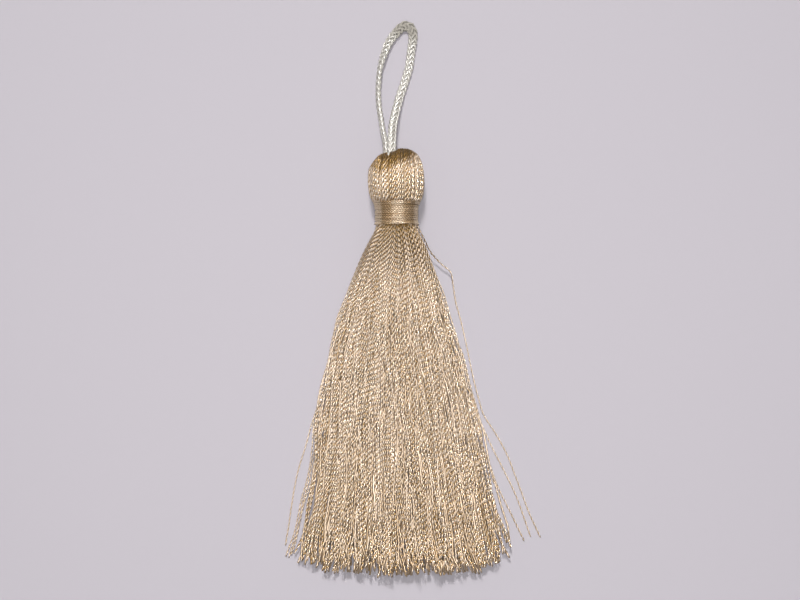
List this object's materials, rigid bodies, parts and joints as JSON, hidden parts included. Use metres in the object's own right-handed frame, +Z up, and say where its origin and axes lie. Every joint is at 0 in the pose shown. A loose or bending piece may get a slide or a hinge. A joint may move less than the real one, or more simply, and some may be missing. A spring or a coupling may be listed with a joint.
{
  "type": "yarn tassel with a hanging loop",
  "caption": "Long yarn tassel lying flat: a rounded head folded over a braided hanging loop, a bound neck and a fanned skirt of twisted strands.",
  "frame": {"origin": "on the surface that the tassel lies on, under the middle of the box of the yarn and the binding, the hanging loop left out", "axes": "+Z up from the surface, +Y along the tassel towards its head and loop, +X towards the side where the long loose strands lie"},
  "size_m": [0.0552, 0.119, 0.0111],
  "materials": {
    "champagne_yarn": "silky two-ply twisted yarn in champagne gold, with a bright sheen along every twist",
    "binding_thread": "fine silky thread in a slightly deeper gold, wound in close turns",
    "ivory_braid": "narrow flat braid in ivory, softly glossy"
  },
  "bodies": {
    "root": {"yarn_bundle": "champagne_yarn", "neck_binding": "binding_thread", "hanging_loop": "ivory_braid"}
  },
  "joints": []
}
